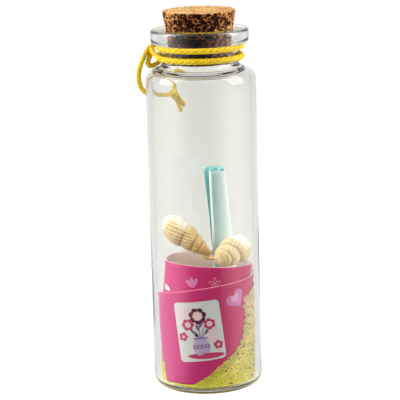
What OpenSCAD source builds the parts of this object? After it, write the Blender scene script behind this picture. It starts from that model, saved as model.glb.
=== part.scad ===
// Corked glass bottle of sand, shells, a rolled card and a paper scroll, with a waxed cord on its neck.
// Millimetres. The origin is the middle of the base, +Z is up and the front is towards -Y.

/* [Glass] */
// Outside diameter of the body
body_d = 30; // [27:0.5:34]
// Height of the glass from the table to the rim
glass_h = 99; // [92:0.5:120]
// Thickness of the body wall
wall = 1.6; // [1.2:0.1:2]
// Thickness of the base at its edge
base_t = 1.7; // [1.5:0.1:3]
// Rise of the hollow under the base
push_up = 0.6; // [0.3:0.1:0.8]
// Width of the flat ring that the bottle stands on
foot_w = 1.2; // [0.8:0.1:2]
// Radius of the rounded heel
heel_r = 2.6; // [1.5:0.1:3.5]
// Radius of the shoulder's outer corner
shoulder_r = 3.6; // [2.5:0.1:4.5]
// Depth of the shoulder's top below the rim
shoulder_drop = 10.4; // [9:0.1:14]
// Outside diameter of the neck
neck_d = 20.8; // [20.4:0.1:22]
// Outside diameter of the collar
collar_d = 26.6; // [24.5:0.1:28]
// Height of the collar
collar_h = 3.9; // [2.5:0.1:4.6]
// Diameter of the mouth
mouth_d = 18.4; // [17.4:0.1:18.8]

/* [Stopper] */
// Height of the cork that stands out of the mouth
cork_out = 5; // [3:0.1:8]
// Length of the cork inside the neck
cork_in = 9.5; // [6:0.1:10]
// Change of the cork's radius for each millimetre of its length
cork_taper = 0.17; // [0.1:0.01:0.2]
// Clearance between the cork and the mouth
cork_clear = 0.05; // [0.03:0.01:0.1]
// Rounding of the cork's two edges
cork_edge = 0.3; // [0.1:0.05:0.6]

/* [Cord] */
// Diameter of the waxed cord
cord_d = 1.45; // [1.2:0.05:1.6]
// Clear space between the two turns on the neck
turn_gap = 1.35; // [0.3:0.05:1.6]

/* [Sand] */
// Height of the sand on the bottle's axis
sand_mid = 17.5; // [12:0.5:20]
// Slope of the sand, in degrees
sand_slope = 40; // [20:1:42]
// Layer of sand under the card
sand_bed = 0.9; // [0.9:0.1:2]

/* [Card roll] */
// Height of the card's outer free corner above the bed
card_low = 24.1; // [20:0.1:26]
// Further rise of the card's top edge along the roll
card_rise = 9.3; // [5:0.1:10]
// Thickness of the card
card_t = 0.35; // [0.25:0.05:0.5]
// Angle of the outer free corner, counted from +X
card_start = 191; // [180:1:205]
// Angle that the card covers
card_wind = 524; // [440:1:530]
// Turn of the outer free edge from its top to its foot
card_skew = 24; // [5:1:30]
// Gap that opens on the right just under the card's outer edge
card_gap = 0.75; // [0.3:0.05:1.2]
// How much more the roll narrows towards its foot
card_flare = 2.8; // [1:0.1:3.2]
// How much smaller the inner turn's radius is
inner_step = 1.3; // [1.1:0.05:1.6]
// Sideways shift of the inner turn
inner_shift = 0.8; // [0.3:0.05:0.85]

/* [Scroll] */
// Length of the paper scroll
scroll_len = 38; // [30:0.5:45]
// Radius of the scroll at its foot, as a share of the space's radius
scroll_wide = 0.284; // [0.24:0.001:0.29]
// Radius of the scroll at its top, as a share of the space's radius
scroll_top = 0.239; // [0.2:0.001:0.265]
// Thickness of the scroll's paper
paper_t = 0.22; // [0.15:0.01:0.25]
// Rise of the scroll's top from its front to its back
scroll_slant = 1.6; // [0:0.1:3]

/* [Metal ring] */
// Outside radius of the ring round the scroll, as a share of the space's radius
ring_wide = 0.366; // [0.355:0.001:0.372]
// Height of the ring
ring_h = 1.1; // [0.7:0.05:1.4]
// Thickness of the ring
ring_t = 0.35; // [0.25:0.05:0.45]

/* [Shells] */
// Length of the left shell, as a share of the space's radius
left_long = 1.22; // [1.04:0.01:1.24]
// Largest radius of the left shell, as a share of the space's radius
left_wide = 0.28; // [0.22:0.005:0.295]
// Length of the right shell, as a share of the space's radius
right_long = 0.96; // [0.82:0.01:0.98]
// Largest radius of the right shell, as a share of the space's radius
right_wide = 0.3; // [0.24:0.005:0.305]
// Number of ribs on a whorl
shell_ribs = 11; // [8:1:12]

/* [Hidden] */
$fn = 64;
eps = 0.01;

// Glass
body_r = body_d / 2;
cavity_r = body_r - wall;
neck_r = neck_d / 2;
collar_r = collar_d / 2;
mouth_r = mouth_d / 2;
shoulder_z = glass_h - shoulder_drop;
floor_r = 0.8;
lip_r = 0.8;
mouth_round = 0.3;
neck_fillet = 1;

// Stopper
cork_z0 = glass_h - cork_in;
cork_h = cork_in + cork_out;
cork_rim_r = mouth_r - cork_clear;
cork_r0 = cork_rim_r - cork_taper * cork_in;
cork_r1 = cork_rim_r + cork_taper * cork_out;

// Cord
cord_r = cord_d / 2;
turn_clear = 0.03;
turn_r = neck_r + cord_r + turn_clear;
turn_hi = glass_h - collar_h - cord_r - 0.08;
turn_lo = turn_hi - cord_d - turn_gap;

// Sand
fill_clear = 0.12;
grain_clear = 0.45;
sand_r = cavity_r - fill_clear;
sand_z0 = base_t + 0.05;
bed_z = sand_z0 + sand_bed;
bed_up = 0.02;
thin = 0.05;
sand_sides = 84;
edge_room = 7;
scroll_clear = 0.15;
sand_rows = 6;

// Card roll: pressed to the glass at the front left, drawn in at the right and towards its foot
card_z0 = bed_z + 0.05;
card_top = card_z0 + card_low + card_rise;
card_r = cavity_r - 0.15 - card_t / 2;
card_steps = 72;
card_rows = 6;
card_knee = 6.3;
function ease(x) = let (t = min(1, max(0, x))) t * t * (3 - 2 * t);
card_climb = [[0, 0], [0.09, 0.22], [0.14, 0.34], [0.19, 0.42], [0.24, 0.47], [0.28, 0.51], [0.35, 0.68],
              [0.5, 0.84], [0.67, 0.95], [0.78, 1], [0.86, 0.94], [1, 0.78]];
function card_down(z) = max(0, 1 - (z - card_z0) / card_low);
function card_first(z) = card_start + card_skew * card_down(z);
function card_turn(a, z) = (a - 268 + 38 * pow(card_down(z), 6) + 720) % 360;
function card_draw(a, z) = ease(card_turn(a, z) / 115) * (1 - ease((card_turn(a, z) - 150) / 130))
    * (card_gap * ease((card_edge(a) - z) / 4) + card_flare * pow(card_down(z), 3));
function card_in(a) = ease((a - 330) / 180);
function card_step(a, z) = let (w = ease(1.6 * (card_top - z) / (card_top - card_z0)))
    (1 - w) * (inner_step - inner_shift * cos(a))
    + w * (0.2 + 0.45 * ease((a - 540) / 22) + 0.6 * ease((card_z0 + card_knee - z) / 5));
function card_mid_r(a, z) = card_r - card_in(a) * card_step(a, z) - card_draw(a, z);
function card_edge(a) = card_z0 + card_low + card_rise * lookup((a - card_start) / card_wind, card_climb);
function card_point(a, z, out) = concat((card_mid_r(a, z) + out) * [cos(a), sin(a)], z);

// Scroll: it stands in the sand inside the roll. Both sections run from the outer edge inwards
scroll_r = scroll_wide * cavity_r;
scroll_top_r = scroll_top * cavity_r;
scroll_xy = cavity_r * [0.444, 0.315];
scroll_lean = cavity_r * [-0.217, 0.081];
scroll_sunk = 1.1;
scroll_foot = concat(scroll_xy, sand_mid + tan(sand_slope) * scroll_xy[0] - scroll_sunk);
scroll_dir = unit(concat(scroll_lean, scroll_len));
scroll_rows = 4;
foot_plan = [[-2.6, 2.2], [-2, 2.9], [-1.1, 3.4], [0.2, 3.6], [2.2, 3.1], [3.6, 1.2], [3.6, -1.1], [2.4, -2.8],
             [0.3, -3.6], [-1.8, -3.2], [-3.3, -1.9], [-3.6, -0.3], [-2.6, 1.2], [-0.9, 2.2], [1, 2.4], [2.3, 1.2],
             [2.5, -0.4], [1.6, -1.8], [0.1, -2.4], [-1.3, -1.9], [-1.9, -0.7]] / 3.8;
head_plan = [[-3.1, 0], [-2.75, 0.9], [-1.9, 1.6], [-0.5, 2.1], [1, 2.6], [2.4, 1.9], [3.1, 0.5], [2.9, -0.8],
             [1.8, -1.6], [0.3, -2.1], [-0.9, -2.2], [-1.35, -1.5], [-1.25, -0.4], [-0.8, 0.6], [0.1, 1.4], [1, 1.5],
             [1.6, 0.7], [1.5, -0.2], [0.9, -0.8], [0.1, -1], [-0.4, -0.6]] / 3.2;

// Metal ring
ring_r = ring_wide * cavity_r;
ring_drop = 0.95;
ring_clear = 0.08;
ring_shift = ring_r - ring_t - scroll_r - ring_clear;
ring_at = scroll_foot + scroll_dir * (card_top - ring_drop - scroll_foot[2]) / scroll_dir[2]
    + ring_shift * [-0.89, -0.45, 0];

// Shells, each from its apex towards its open end
left_apex = cavity_r * [0.101, 0.075, -0.015] + [0, 0, card_top];
left_way = unit([-13.25, 3.6, 10.1]);
right_apex = cavity_r * [0.261, -0.746, 0.075] + [0, 0, card_top];
right_way = unit([7.3, 10.4, 2]);
shell_sides = 44;
shell_rings = 25;
whorl_growth = 1.62;
whorl_depth = 0.1;
shell_wide = 0.62;

// Cord routes
hitch_route = [[-9.3, -6.6, 91.6], [-11, -4.7, 91.9], [-12.1, -3.1, 92.6], [-12.8, -1.7, 93.5], [-12.9, -0.5, 93.9],
               [-13, 0.4, 93.3], [-13.4, 0.8, 92.1], [-13.9, 0.7, 90.8], [-14.1, 0.5, 89.8], [-13.7, 0.7, 89.1],
               [-12.9, 1.9, 89], [-12.1, 3.4, 89.2], [-11.3, 4.9, 89.4]];
loop_route = [[-9.7, 8.2, 94.2], [-11.6, 5.3, 94.3], [-13, 2.2, 94.2], [-14.1, 0.8, 93.4], [-15, 0.2, 91.9],
              [-15.8, 0.1, 90.2], [-16.5, 0.4, 88.2], [-16.8, 1, 86], [-16.6, 2, 84], [-16, 3.6, 82.2],
              [-14.9, 6, 80.8], [-13.2, 9, 79.9], [-11.3, 11.7, 79.4], [-9.5, 13.9, 79.4],
              [-8.4, 15.1, 80.2], [-8.2, 15, 82.2], [-8.5, 14.3, 84.6], [-9.1, 13, 86.8], [-9.9, 11.1, 88.4],
              [-10.6, 8.9, 89.6], [-11, 7.2, 90.6], [-11.1, 6.1, 91.6]];
knot_at = [-8.4, 14.7, 79.1];
knot_dir = [0.6, 0.12, -1];
end_length = 4.7;

function unit(v) = v / norm(v);

// Rings of points joined into a closed solid: rings of equal size, first ring below, counter-clockwise from above
module loft(rings) {
  n = len(rings[0]);
  m = len(rings);
  sides = [for (k = [0:m - 2], i = [0:n - 1])
    let (a = k * n + i, b = k * n + (i + 1) % n)
      each [[a, a + n, b + n], [a, b + n, b]]];
  foot = [for (i = [1:n - 2]) [0, i, i + 1]];
  head = [for (i = [1:n - 2]) [(m - 1) * n, (m - 1) * n + i + 1, (m - 1) * n + i]];
  polyhedron([for (r = rings) each r], concat(sides, foot, head));
}

// A rolled sheet: grid[i][j] is a pair of points, on the inner and the outer face, at step i and row j
module rolled_sheet(grid) {
  n = len(grid);
  m = len(grid[0]);
  function at(i, j, s) = (i * m + j) * 2 + s;
  function quad(a, b, c, d) = [[a, b, c], [a, c, d]];
  faces = [for (i = [0:n - 2], j = [0:m - 2]) each concat(
             quad(at(i, j, 1), at(i, j + 1, 1), at(i + 1, j + 1, 1), at(i + 1, j, 1)),
             quad(at(i, j, 0), at(i + 1, j, 0), at(i + 1, j + 1, 0), at(i, j + 1, 0)))];
  edges = [for (i = [0:n - 2]) each concat(
             quad(at(i, m - 1, 0), at(i + 1, m - 1, 0), at(i + 1, m - 1, 1), at(i, m - 1, 1)),
             quad(at(i, 0, 0), at(i, 0, 1), at(i + 1, 0, 1), at(i + 1, 0, 0)))];
  ends = [for (j = [0:m - 2]) each concat(
            quad(at(0, j, 0), at(0, j + 1, 0), at(0, j + 1, 1), at(0, j, 1)),
            quad(at(n - 1, j, 0), at(n - 1, j, 1), at(n - 1, j + 1, 1), at(n - 1, j + 1, 0)))];
  polyhedron([for (column = grid, pair = column) each pair], concat(faces, edges, ends));
}

// A smooth line through a route's points
function spline(p0, p1, p2, p3, t) = 0.5 * (2 * p1 + (p2 - p0) * t
    + (2 * p0 - 5 * p1 + 4 * p2 - p3) * t * t + (3 * p1 - p0 - 3 * p2 + p3) * t * t * t);
function smooth(p, k) = let (n = len(p)) [for (i = [0:n - 2], s = [0:k - 1])
    spline(p[max(i - 1, 0)], p[i], p[i + 1], p[min(i + 2, n - 1)], s / k), p[n - 1]];
function heading(p, i) = unit(p[min(i + 1, len(p) - 1)] - p[max(i - 1, 0)]);
function square_to(v, t) = unit(v - (v * t) * t);

// A plain tube of eight sides along a route
module tube(route, r, k) {
  p = smooth(route, k);
  side = [for (i = 0, v = square_to([0, 0.3, 1], heading(p, 0)); i < len(p);
    i = i + 1, v = i < len(p) ? square_to(v, heading(p, i)) : v) v];
  loft([for (i = [0:len(p) - 1]) let (t = heading(p, i), u = side[i], w = cross(t, u))
    [for (s = [0:7]) p[i] + r * (cos(45 * s) * u + sin(45 * s) * w)]]);
}

// Half of a section: from the axis out to r, between z0 and z1, with outer corners of radius low and high
module half_section(r, z0, z1, low, high) {
  translate([0, z0 + low]) square([r, z1 - z0 - low - high]);
  translate([0, z0]) square([r - low, low + eps]);
  translate([0, z1 - high - eps]) square([r - high, high + eps]);
  translate([r - low, z0 + low]) intersection() {
    circle(r = low);
    translate([0, -low]) square(low);
  }
  translate([r - high, z1 - high]) intersection() {
    circle(r = high);
    square(high);
  }
}

// The space inside the body, c smaller all round
module cavity_section(c = 0) {
  half_section(cavity_r - c, base_t + c, shoulder_z - wall - c, floor_r, shoulder_r - wall);
}

module glass_section() {
  dome = (pow(body_r - heel_r - foot_w, 2) + pow(push_up, 2)) / (2 * push_up);
  difference() {
    union() {
      half_section(body_r, 0, shoulder_z, heel_r, shoulder_r);
      translate([0, shoulder_z - 1]) square([neck_r, glass_h - shoulder_z - collar_h + 2]);
      translate([0, glass_h - collar_h]) half_section(collar_r, 0, collar_h, lip_r, lip_r);
      difference() {
        translate([neck_r - eps, shoulder_z - eps]) square(neck_fillet + eps);
        translate([neck_r + neck_fillet, shoulder_z + neck_fillet]) circle(r = neck_fillet);
      }
    }
    cavity_section();
    translate([0, shoulder_z - wall - 1]) square([mouth_r, glass_h]);
    translate([0, push_up - dome]) intersection() {
      circle(r = dome);
      translate([0, -dome]) square([body_r, 2 * dome]);
    }
    translate([mouth_r, glass_h - mouth_round]) difference() {
      translate([-eps, eps]) square(mouth_round);
      translate([mouth_round, 0]) circle(r = mouth_round);
    }
  }
}

module bottle() {
  color([0.86, 0.9, 0.87, 0.35]) rotate_extrude() glass_section();
}

// A tapered cork with softened edges
module stopper() {
  color([0.78, 0.58, 0.36]) translate([0, 0, cork_z0]) rotate_extrude() polygon([
    [0, 0], [cork_r0 - cork_edge, 0], [cork_r0 + cork_taper * cork_edge, cork_edge],
    [cork_r1 - cork_taper * cork_edge, cork_h - cork_edge], [cork_r1 - cork_edge, cork_h], [0, cork_h]]);
}

// The heaped sand's top at a radius and angle
function heap(r, a) = sand_mid + tan(sand_slope) * r * cos(a);
// Angle of the sand's column c at a height: the columns follow the slant of the card's free edge
function column(c, z) = card_first(z) + 360 * c / sand_sides;
// Radius of the sand's wall outside the card and inside it
function out_r(c, z) = min(sand_r - thin, card_mid_r(column(c, z), z) + card_t / 2 + grain_clear);
function in_r(c, z) = let (a = column(c, z), last = card_start + card_wind + edge_room)
    card_mid_r(last - (last - a + 720) % 360, z) - card_t / 2 - fill_clear;
// Height at which the card meets the glass, and the sand's top on the card's two sides
function meet(c, lo, hi, k) = let (z = (lo + hi) / 2)
    k == 0 ? lo : out_r(c, z) < sand_r - thin ? meet(c, z, hi, k - 1) : meet(c, lo, z, k - 1);
function settle_out(c, z, k) = k == 0 ? z : settle_out(c, heap(out_r(c, z), column(c, z)), k - 1);
function settle_in(c, z, k) = k == 0 ? z : settle_in(c, heap(in_r(c, z), column(c, z)), k - 1);
function on_ring(c, r, z) = concat(r * [cos(column(c, z)), sin(column(c, z))], z);

// Sand on both sides of the card, heaped against the right of the bottle
module sand() {
  columns = [for (c = [0:sand_sides - 1])
    let (low = bed_z + bed_up, touch = max(low, meet(c, bed_z, card_top, 9)),
         wall_z = max(low, min(touch, heap(sand_r, column(c, touch)))),
         out_z = max(low, min(touch, settle_out(c, sand_mid, 6))), in_z = settle_in(c, sand_mid, 6),
         side = sand_r - floor_r, hip = floor_r * (1 - cos(45)))
      concat([on_ring(c, 0.5, sand_z0), on_ring(c, side, sand_z0), on_ring(c, sand_r - hip, sand_z0 + hip),
              on_ring(c, sand_r, sand_z0 + floor_r), on_ring(c, sand_r, wall_z)],
             [for (k = [sand_rows:-1:0]) let (z = bed_z + (out_z - bed_z) * k / sand_rows) on_ring(c, out_r(c, z), z)],
             [for (k = [0:sand_rows]) let (z = bed_z + (in_z - bed_z) * k / sand_rows) on_ring(c, in_r(c, z), z)],
             [[0.5 * cos(column(c, sand_mid)), 0.5 * sin(column(c, sand_mid)), heap(0.5, column(c, sand_mid))]])];
  color([0.9, 0.88, 0.5]) difference() {
    loft([for (j = [0:len(columns[0]) - 1]) [for (column = columns) column[j]]]);
    translate(scroll_foot) multmatrix(stand(scroll_dir)) cylinder(r = scroll_r + scroll_clear, h = scroll_len);
  }
}

// One printed card rolled up a turn and a half, its top edge climbing as it winds in
module card_roll() {
  color([0.8, 0.2, 0.42]) rolled_sheet([for (i = [0:card_steps]) let (u = i / card_steps)
    [for (j = [0:card_rows])
      let (a = card_start + card_wind * u, z = card_z0 + (card_edge(a) - card_z0) * j / card_rows,
           b = a + card_skew * card_down(z) * (1 - u))
        [card_point(b, z, -card_t / 2), card_point(b, z, card_t / 2)]]]);
}

// Turns +Z to the direction d
function stand(d) = let (x = unit(cross([0, 1, 0], d)), y = cross(d, x))
    [[x[0], y[0], d[0], 0], [x[1], y[1], d[1], 0], [x[2], y[2], d[2], 0], [0, 0, 0, 1]];

// A sheet of paper rolled into a loose scroll that opens towards its top
module scroll() {
  foot = smooth(foot_plan * (scroll_r - paper_t / 2), 3);
  head = smooth(head_plan * (scroll_top_r - paper_t / 2), 3);
  color([0.62, 0.82, 0.8]) translate(scroll_foot) multmatrix(stand(scroll_dir))
    rolled_sheet([for (i = [len(foot) - 1:-1:0])
      [for (j = [0:scroll_rows])
        let (h = j / scroll_rows, mid = foot[i] + (head[i] - foot[i]) * h,
             ahead = heading(foot, i) + (heading(head, i) - heading(foot, i)) * h,
             out = unit([ahead[1], -ahead[0]]) * paper_t / 2,
             z = h * (scroll_len + scroll_slant * (mid[1] / 2 - mid[0] / 4) / scroll_top_r))
          [concat(mid + out, z), concat(mid - out, z)]]]);
}

module scroll_ring() {
  color([0.85, 0.68, 0.3]) translate(ring_at) multmatrix(stand(scroll_dir)) difference() {
    cylinder(r = ring_r, h = ring_h, center = true);
    cylinder(r = ring_r - ring_t, h = ring_h + 1, center = true);
  }
}

// Radius of a spiral shell of length 1 and largest radius 1, at height h above its apex and angle a
function shell_body(h, blunt) = h < shell_wide
    ? pow(max(h, 0.002) / shell_wide, blunt)
    : 1 - 0.7 * pow((h - shell_wide) / (1 - shell_wide), 3.4);
function shell_turn(h, a) = ln(max(h, 0.01) / 0.56) / ln(whorl_growth) - a / 360;
function shell_groove(t) = t > 0.5 ? 1 : 1 - whorl_depth * pow(abs(cos(180 * t)), 4);
function shell_rib(h, a) = 0.035 * cos(shell_ribs * a) * min(1, 4 * h) * (h > 0.85 ? (1 - h) / 0.15 : 1);
function shell_mouth(h, a) = let (u = (h - 0.78) / 0.17, v = (((a + 540) % 360) - 180) / 42)
    0.34 * exp(-(u * u + v * v));
function shell_radius(h, a, blunt) = shell_body(h, blunt) * shell_groove(shell_turn(h, a))
    * (1 + shell_rib(h, a) - shell_mouth(h, a));

// A small spiral sea shell: a stack of bulging, ribbed whorls with an open mouth
module shell(apex, way, size, r, blunt, turned) {
  color([0.93, 0.85, 0.66]) translate(apex) multmatrix(stand(way)) rotate([0, 0, turned])
    loft([for (k = [0:shell_rings])
      let (h = 0.004 + 0.992 * pow(k / shell_rings, 1.25))
        [for (i = [0:shell_sides - 1]) let (a = 360 * i / shell_sides)
          concat(r * shell_radius(h, a, blunt) * [cos(a), sin(a)], size * h)]]);
}

module shell_left() { shell(left_apex, left_way, left_long * cavity_r, left_wide * cavity_r, 0.55, 90); }

module shell_right() { shell(right_apex, right_way, right_long * cavity_r, right_wide * cavity_r, 0.3, 20); }

module neck_turn(z) {
  translate([0, 0, z]) rotate_extrude() translate([turn_r, 0]) circle(r = cord_r);
}

// Two tight turns of the cord round the neck
module cord_turns() {
  color([0.93, 0.8, 0.16]) {
    neck_turn(turn_hi);
    neck_turn(turn_lo);
  }
}

// The bight that the loop is drawn through
module cord_hitch() { color([0.9, 0.76, 0.14]) tube(hitch_route, cord_r, 1); }

// The free loop: down on the left, through the knot behind the bottle and back up
module cord_loop() { color([0.93, 0.8, 0.16]) tube(loop_route, cord_r, 1); }

// The overhand knot that closes the loop, with its two short ends
module cord_knot() {
  core = cord_r * 1.1;
  color([0.88, 0.74, 0.14]) translate(knot_at) multmatrix(stand(unit(knot_dir))) {
    rotate_extrude() {
      translate([0, -cord_d]) square([core, 2 * cord_d]);
      for (z = [-1, 0, 1]) translate([core, 0.75 * z * cord_d]) circle(r = cord_r * 1.05);
    }
    for (s = [-1, 1]) translate([s * cord_r * 1.05, 0, cord_r]) rotate([0, s * 3, 0])
      cylinder(r = cord_r, h = end_length);
  }
}

bottle();
stopper();
sand();
card_roll();
scroll();
scroll_ring();
shell_left();
shell_right();
cord_turns();
cord_hitch();
cord_loop();
cord_knot();
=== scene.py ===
"""Looks of the corked glass keepsake bottle: glass, cork, rolled card, scroll, shells, sand and cord.

Lengths are in millimetres until a mesh is made, angles in degrees. Z is up and the front is at -Y.
"""
import bpy
import math
import numpy as np
from mathutils import Matrix, Vector
from mathutils.kdtree import KDTree


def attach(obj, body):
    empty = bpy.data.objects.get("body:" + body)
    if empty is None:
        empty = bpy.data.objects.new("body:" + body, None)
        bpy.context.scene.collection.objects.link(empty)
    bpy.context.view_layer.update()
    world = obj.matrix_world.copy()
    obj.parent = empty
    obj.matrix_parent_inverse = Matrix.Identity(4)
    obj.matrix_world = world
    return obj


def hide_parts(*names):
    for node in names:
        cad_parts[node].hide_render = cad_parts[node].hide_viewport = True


MM = 0.001
RNG = np.random.default_rng(11)
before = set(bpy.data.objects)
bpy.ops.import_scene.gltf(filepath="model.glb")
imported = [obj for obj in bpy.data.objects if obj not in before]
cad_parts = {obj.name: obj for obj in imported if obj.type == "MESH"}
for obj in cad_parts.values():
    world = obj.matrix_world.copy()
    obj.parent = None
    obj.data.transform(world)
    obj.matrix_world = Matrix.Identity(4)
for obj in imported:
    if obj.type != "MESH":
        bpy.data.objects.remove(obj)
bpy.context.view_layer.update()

# Sizes from part.scad: the bottle
BODY_R, GLASS_H, WALL, BASE_T = 15.0, 99.0, 1.6, 1.7
CAVITY_R = BODY_R - WALL
SHOULDER_Z = GLASS_H - 10.4
NECK_R, COLLAR_R, COLLAR_H, MOUTH_R = 10.4, 13.3, 3.9, 9.2
HEEL_R, CAVITY_HEEL_R = 2.6, 0.8
DOME_R, DOME_H = 11.2, 0.6
# The cork and the cord
CORK_Z0, CORK_H, CORK_SLOPE = GLASS_H - 9.5, 14.5, 0.17
CORK_R0 = MOUTH_R - 0.05 - CORK_SLOPE * 9.5
CORD_R = 0.725
TURN_R = NECK_R + CORD_R + 0.03
TURN_HI = GLASS_H - COLLAR_H - CORD_R - 0.08
TURN_LO = TURN_HI - 2.8
# The sand
SAND_R = CAVITY_R - 0.12
SAND_Z0 = BASE_T + 0.05
BED_Z = SAND_Z0 + 0.9
SAND_MID, SAND_SLOPE = 17.5, math.tan(math.radians(40))
# The rolled card
CARD_Z0, CARD_LOW, CARD_RISE, CARD_T = BED_Z + 0.05, 24.1, 9.3, 0.35
CARD_TOP = CARD_Z0 + CARD_LOW + CARD_RISE
CARD_R = CAVITY_R - 0.15 - CARD_T / 2
CARD_START, CARD_WIND, CARD_SKEW = 191.0, 524.0, 24.0
# The scroll and its ring
SCROLL_LEN, SCROLL_R, SCROLL_TOP_R, PAPER_T = 38.0, 0.284 * CAVITY_R, 0.239 * CAVITY_R, 0.22
RING_R, RING_H, RING_T = 0.366 * CAVITY_R, 1.1, 0.35


# Colours and materials

def srgb(r, g, b):
    """Linear colour of an 8-bit screen colour."""
    return tuple(c / 12.92 if c <= 0.04045 else ((c + 0.055) / 1.055) ** 2.4
                 for c in (r / 255, g / 255, b / 255))


def bsdf(m):
    return m.node_tree.nodes["Principled BSDF"]


def material(name, color, rough=0.5, **sockets):
    """A Principled material. Further sockets are named with _ for a space."""
    m = bpy.data.materials.new(name)
    m.use_nodes = True
    values = {"Base_Color": (*color, 1), "Roughness": rough, "Specular_IOR_Level": 0.15, **sockets}
    for key, value in values.items():
        bsdf(m).inputs[key.replace("_", " ")].default_value = value
    return m


def node(m, kind, **values):
    """A shader node, with values for its sockets or, where it has no such socket, its properties."""
    n = m.node_tree.nodes.new("ShaderNode" + kind)
    for key, value in values.items():
        key = key.replace("_", " ")
        if key in n.inputs:
            n.inputs[key].default_value = value
        else:
            setattr(n, key.replace(" ", "_"), value)
    return n


def link(m, a, b):
    m.node_tree.links.new(a, b)


def feed(m, value, socket):
    """Gives a socket a number, a colour or the output of another node."""
    if isinstance(value, (int, float)):
        socket.default_value = value
    elif isinstance(value, tuple):
        socket.default_value = (*value, 1)
    else:
        link(m, value, socket)


def paint(m, color):
    link(m, color, bsdf(m).inputs["Base Color"])


def ramp(m, source, stops):
    """A colour ramp of (position, colour) stops on a value."""
    n = node(m, "ValToRGB")
    e = n.color_ramp.elements
    while len(e) < len(stops):
        e.new(1)
    for i, (at, color) in enumerate(stops):
        e[i].position = at
        e[i].color = (*color, 1)
    link(m, source, n.inputs["Fac"])
    return n.outputs["Color"]


def mix(m, factor, a, b, blend="MIX"):
    """Mixes the colours a and b."""
    n = node(m, "Mix", data_type="RGBA", blend_type=blend)
    for name, kind, value in (("Factor", "VALUE", factor), ("A", "RGBA", a), ("B", "RGBA", b)):
        feed(m, value, next(s for s in n.inputs if s.name == name and s.type == kind))
    return next(s for s in n.outputs if s.type == "RGBA")


def combine(m, operation, *values):
    """A math node on numbers and outputs."""
    n = node(m, "Math", operation=operation)
    for value, socket in zip(values, n.inputs):
        feed(m, value, socket)
    return n.outputs[0]


def scaled(m, source, factor, plus=0.0):
    return combine(m, "MULTIPLY_ADD", source, factor, plus)


def attribute(m, name):
    return node(m, "Attribute", attribute_name=name).outputs["Fac"]


def texture(m, kind, out, **values):
    """A texture in the object's own coordinates."""
    at = node(m, "TexCoord")
    n = node(m, "Tex" + kind, **values)
    link(m, at.outputs["Object"], n.inputs["Vector"])
    return n.outputs[out]


def noise(m, scale, detail, rough):
    return texture(m, "Noise", "Fac", Scale=scale, Detail=detail, Roughness=rough)


def cells(m, scale, out="Distance", feature="F1"):
    return texture(m, "Voronoi", out, Scale=scale, feature=feature)


def bump(m, source, strength, distance):
    n = node(m, "Bump", Strength=strength, Distance=distance)
    link(m, source, n.inputs["Height"])
    link(m, n.outputs["Normal"], bsdf(m).inputs["Normal"])


# Meshes

def new_object(name, data):
    o = bpy.data.objects.new(name, data)
    bpy.context.scene.collection.objects.link(o)
    return o


def mesh_object(name, points, faces, mats, slots=None, smooth=True, **attributes):
    """An object of points in millimetres. Attributes hold one number for each point."""
    me = bpy.data.meshes.new(name)
    me.from_pydata((np.asarray(points, dtype=float).reshape(-1, 3) * MM).tolist(), [],
                   faces if isinstance(faces, list) else faces.tolist())
    for m in mats if isinstance(mats, list) else [mats]:
        me.materials.append(m)
    if slots is not None:
        me.polygons.foreach_set("material_index", np.asarray(slots, dtype=np.int32))
    me.polygons.foreach_set("use_smooth", np.full(len(me.polygons), smooth))
    for key, values in attributes.items():
        values = np.asarray(values, dtype=np.float32).ravel()
        me.attributes.new(key, "FLOAT", "POINT").data.foreach_set("value", values)
    me.update()
    return new_object(name, me)


def grid_faces(n, m, wrap_n=False, wrap_m=False):
    """Quads over a grid of n by m points, point (i, j) at i * m + j."""
    i, j = np.meshgrid(np.arange(n if wrap_n else n - 1), np.arange(m if wrap_m else m - 1), indexing="ij")
    i, j, k, l = i.ravel(), j.ravel(), (i.ravel() + 1) % n, (j.ravel() + 1) % m
    return np.stack([i * m + j, k * m + j, k * m + l, i * m + l], axis=1)


def turned_faces(n, m):
    """Faces of a profile of m points turned n steps about an axis, with a flat face at each end."""
    ends = [[i * m for i in range(n)][::-1], [i * m + m - 1 for i in range(n)]]
    return grid_faces(n, m, wrap_n=True).tolist() + ends


def sheet_faces(n, rows):
    """Faces of a sheet with two skins, point (i, j, skin) at (i * rows + j) * 2 + skin.

    The second result says for each face where it lies: 0 or 1 for its skin, 2 for the sheet's edges.
    """
    points = np.arange(n * rows * 2).reshape(n, rows, 2)
    a, b = points[:, :, 0], points[:, :, 1]
    groups = ((0, (a[:-1, :-1], a[:-1, 1:], a[1:, 1:], a[1:, :-1])),
              (1, (b[:-1, :-1], b[1:, :-1], b[1:, 1:], b[:-1, 1:])),
              (2, (a[:-1, -1], b[:-1, -1], b[1:, -1], a[1:, -1])),
              (2, (a[:-1, 0], a[1:, 0], b[1:, 0], b[:-1, 0])),
              (2, (a[0, :-1], b[0, :-1], b[0, 1:], a[0, 1:])),
              (2, (a[-1, :-1], a[-1, 1:], b[-1, 1:], b[-1, :-1])))
    faces = [np.stack([corner.ravel() for corner in corners], axis=1) for _, corners in groups]
    lies = [np.full(len(f), where) for f, (where, _) in zip(faces, groups)]
    return np.concatenate(faces), np.concatenate(lies)


def join(parts):
    """Several meshes as one. Each is its points, its faces and one number for each point."""
    points, faces, numbers, start = [], [], [], 0
    for p, f, x in parts:
        points.append(p)
        faces += [[i + start for i in face] for face in f]
        numbers.append(x)
        start += len(p)
    return np.concatenate(points), faces, np.concatenate(numbers)


def arc(r, z, radius, a0, a1, k):
    """Points of a profile's arc from the angle a0 to a1 in k steps."""
    turn = [math.radians(a0 + (a1 - a0) * i / k) for i in range(k + 1)]
    return [(r + radius * math.cos(t), z + radius * math.sin(t)) for t in turn]


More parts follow.
